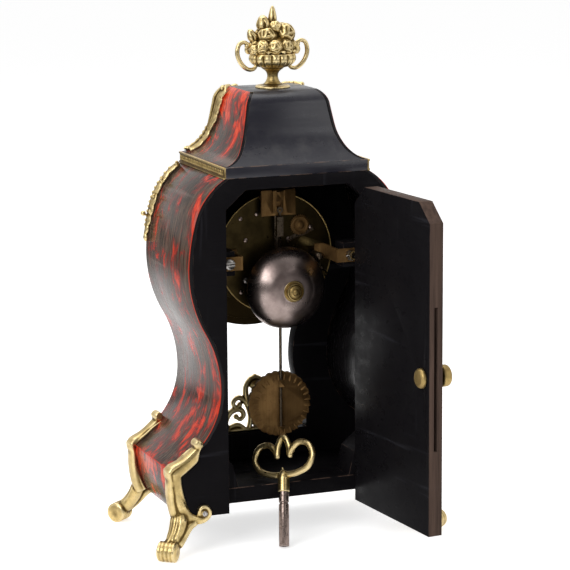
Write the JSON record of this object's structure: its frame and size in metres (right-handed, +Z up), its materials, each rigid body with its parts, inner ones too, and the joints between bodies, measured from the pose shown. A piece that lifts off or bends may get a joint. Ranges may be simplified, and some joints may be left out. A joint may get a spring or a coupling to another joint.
{
  "type": "table clock",
  "caption": "Waisted veneered table clock on brass scroll feet, with hinged back door, pendulum movement, bell, hinged dial glass and loose winding key.",
  "frame": {"origin": "centre of the case on the surface the feet stand on", "axes": "+Z up, dial faces -Y, back door on +Y, +X to the right seen from the front"},
  "size_m": [0.2076, 0.2019, 0.35],
  "materials": {
    "ebonised_wood": "semi-gloss black",
    "marquetry": "glossy red shell and brass veneer",
    "bare_wood": "bare",
    "gilt_brass": "cast and gilt, dark in the hollows",
    "sheet_brass": "dull",
    "bell_metal": "dark polished",
    "steel": "worn",
    "blued_steel": "blued",
    "white_enamel": "fired enamel",
    "glass": "clear"
  },
  "bodies": {
    "case": {"back_frame": "ebonised_wood", "front_frame": "ebonised_wood", "side_right": "marquetry", "side_left": "marquetry", "bottom_board": "ebonised_wood", "top_board": "ebonised_wood", "cornice_band": "gilt_brass", "hood_back": "ebonised_wood", "hood_front": "ebonised_wood", "hood_side_right": "marquetry", "hood_side_left": "marquetry", "hood_top": "ebonised_wood", "finial_vase": "gilt_brass", "finial_handles": "gilt_brass", "finial_bouquet": "gilt_brass", "finial_stud": "steel", "foot_back_right": "gilt_brass", "foot_back_left": "gilt_brass", "foot_front_right": "gilt_brass", "foot_front_left": "gilt_brass", "screws": "steel", "corner_mount_right": "gilt_brass", "corner_mount_left": "gilt_brass", "hood_mount_right": "gilt_brass", "hood_mount_left": "gilt_brass", "case_blocks": "bare_wood", "window_mount": "gilt_brass", "case_hinges": "sheet_brass", "dial_ring": "gilt_brass", "dial_plate": "gilt_brass", "numeral_plaques": "white_enamel", "front_plate": "sheet_brass", "back_plate": "sheet_brass", "pillars": "sheet_brass", "going_barrel": "sheet_brass", "strike_barrel": "sheet_brass", "clicks": "steel", "going_train": "sheet_brass", "strike_train": "sheet_brass", "count_wheel": "sheet_brass", "straps": "sheet_brass", "suspension_cock": "sheet_brass", "bell": "bell_metal", "bell_stand": "sheet_brass"},
    "back_door": {"back_door": "ebonised_wood", "door_hinges": "sheet_brass"},
    "latch": {"latch_spindle": "sheet_brass", "latch_tongue": "steel"},
    "bezel": {"bezel": "gilt_brass", "bezel_glass": "glass"},
    "minute_hand": {"minute_hand": "blued_steel"},
    "hour_hand": {"hour_hand": "blued_steel"},
    "minute_wheel": {"minute_wheel": "sheet_brass"},
    "pendulum": {"pendulum_rod": "steel", "pendulum_bob": "sheet_brass"},
    "anchor": {"anchor": "steel"},
    "hammer": {"hammer": "steel"},
    "going_arbor": {"going_arbor": "steel"},
    "strike_arbor": {"strike_arbor": "steel"},
    "winding_key": {"winding_key": "gilt_brass"}
  },
  "joints": [
    {"name": "back_door_hinge", "type": "hinge", "parent": "case", "child": "back_door", "pos_m": [-0.04885, 0.0436, 0.133], "axis": [0, 0, 1], "range_deg": [-95.3, 0]},
    {"name": "latch_turn", "type": "hinge", "parent": "back_door", "child": "latch", "pos_m": [-0.05178, 0.13206, 0.1255], "axis": [-0.9957, -0.0924, 0], "range_deg": [0, 90]},
    {"name": "bezel_hinge", "type": "hinge", "parent": "case", "child": "bezel", "pos_m": [0.0586, -0.0452, 0.187], "axis": [0, 0, 1], "range_deg": [0, 110]},
    {"name": "minute_hand_turn", "type": "hinge", "parent": "case", "child": "minute_hand", "pos_m": [0, -0.04, 0.187], "axis": [0, 1, 0], "continuous": true},
    {"name": "hour_hand_turn", "type": "hinge", "parent": "case", "child": "hour_hand", "pos_m": [0, -0.04, 0.187], "axis": [0, 1, 0], "continuous": true},
    {"name": "minute_wheel_turn", "type": "hinge", "parent": "case", "child": "minute_wheel", "pos_m": [0, -0.034, 0.199], "axis": [0, 1, 0], "continuous": true},
    {"name": "pendulum_swing", "type": "hinge", "parent": "case", "child": "pendulum", "pos_m": [0, 0.0104, 0.217], "axis": [0, 1, 0], "range_deg": [-4, 4]},
    {"name": "anchor_rock", "type": "hinge", "parent": "case", "child": "anchor", "pos_m": [0, 0, 0.217], "axis": [0, 1, 0], "range_deg": [-4, 4]},
    {"name": "hammer_lift", "type": "hinge", "parent": "case", "child": "hammer", "pos_m": [-0.0325, 0.0057, 0.172], "axis": [0, -1, 0], "range_deg": [0, 12], "stiffness_Nm_per_rad": 0.01},
    {"name": "going_winding", "type": "hinge", "parent": "case", "child": "going_arbor", "pos_m": [0.021, -0.02, 0.17], "axis": [0, 1, 0], "continuous": true},
    {"name": "strike_winding", "type": "hinge", "parent": "case", "child": "strike_arbor", "pos_m": [-0.021, -0.02, 0.17], "axis": [0, 1, 0], "continuous": true},
    {"name": "key_aside", "type": "slide", "parent": "case", "child": "winding_key", "axis": [0.3, 0.9539, 0], "range_m": [0, 0.24]}
  ],
  "couplings": [
    {"joint": "hour_hand_turn", "follows": "minute_hand_turn", "ratio": 0.083333},
    {"joint": "minute_wheel_turn", "follows": "minute_hand_turn", "ratio": -0.33333},
    {"joint": "anchor_rock", "follows": "pendulum_swing", "ratio": 1},
    {"joint": "key_aside", "follows": "back_door_hinge", "m_per_rad": -0.14423}
  ]
}
